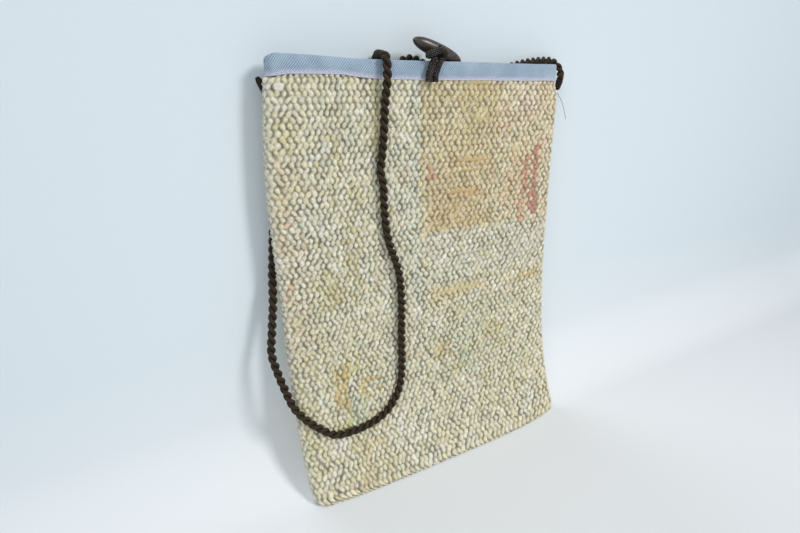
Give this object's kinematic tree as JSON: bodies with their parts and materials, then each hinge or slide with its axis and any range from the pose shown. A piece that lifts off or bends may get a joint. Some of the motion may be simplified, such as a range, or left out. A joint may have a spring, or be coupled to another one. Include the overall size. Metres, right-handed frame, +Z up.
{
  "type": "woven shoulder pouch",
  "caption": "Flat hand-woven shoulder pouch with a twill-bound mouth, a twisted shoulder cord sewn to both sides and a polished toggle on a hitched cord.",
  "frame": {"origin": "middle of the rear binding's rear face, half way down the binding, where the wall that the pouch leans on touches it", "axes": "+X to the right seen from the front, +Y out of the back towards the wall, +Z up; the front panel faces -Y and the foot curves forward to the floor"},
  "size_m": [0.2821, 0.055, 0.3321],
  "materials": {
    "woven_cotton": "matt hand-woven rag weave",
    "woven_cotton_rear": "matt hand-woven rag weave",
    "lining_twill": "matt twill",
    "binding_twill": "matt twill",
    "sewing_thread": "soft sheen",
    "brown_cord": "satin twisted cord",
    "brown_whipping": "satin thread wrapping",
    "polished_horn": "polished dark horn or wood"
  },
  "bodies": {
    "pouch": {"front_panel": "woven_cotton", "back_panel": "woven_cotton_rear", "lining_front": "lining_twill", "lining_back": "lining_twill", "binding_front": "binding_twill", "binding_back": "binding_twill", "binding_stitching_front": "sewing_thread", "binding_stitching_back": "sewing_thread", "side_seam_left": "sewing_thread", "side_seam_right": "sewing_thread", "bottom_seam": "sewing_thread", "shoulder_cord": "brown_cord", "cord_end_left": "brown_whipping", "cord_end_right": "brown_whipping", "toggle_cord_legs": "brown_cord"},
    "toggle_lead": {"toggle_cord_neck": "brown_cord"},
    "toggle": {"toggle": "polished_horn"}
  },
  "joints": [
    {"name": "toggle_flip", "type": "hinge", "parent": "pouch", "child": "toggle_lead", "pos_m": [-0.0084, -0.0253, 0.00625], "axis": [1, 0, 0], "range_deg": [0, 150]},
    {"name": "toggle_rock", "type": "hinge", "parent": "toggle_lead", "child": "toggle", "pos_m": [-0.00037, -0.00905, 0.01443], "axis": [0, -1, 0], "range_deg": [0, 30]}
  ]
}
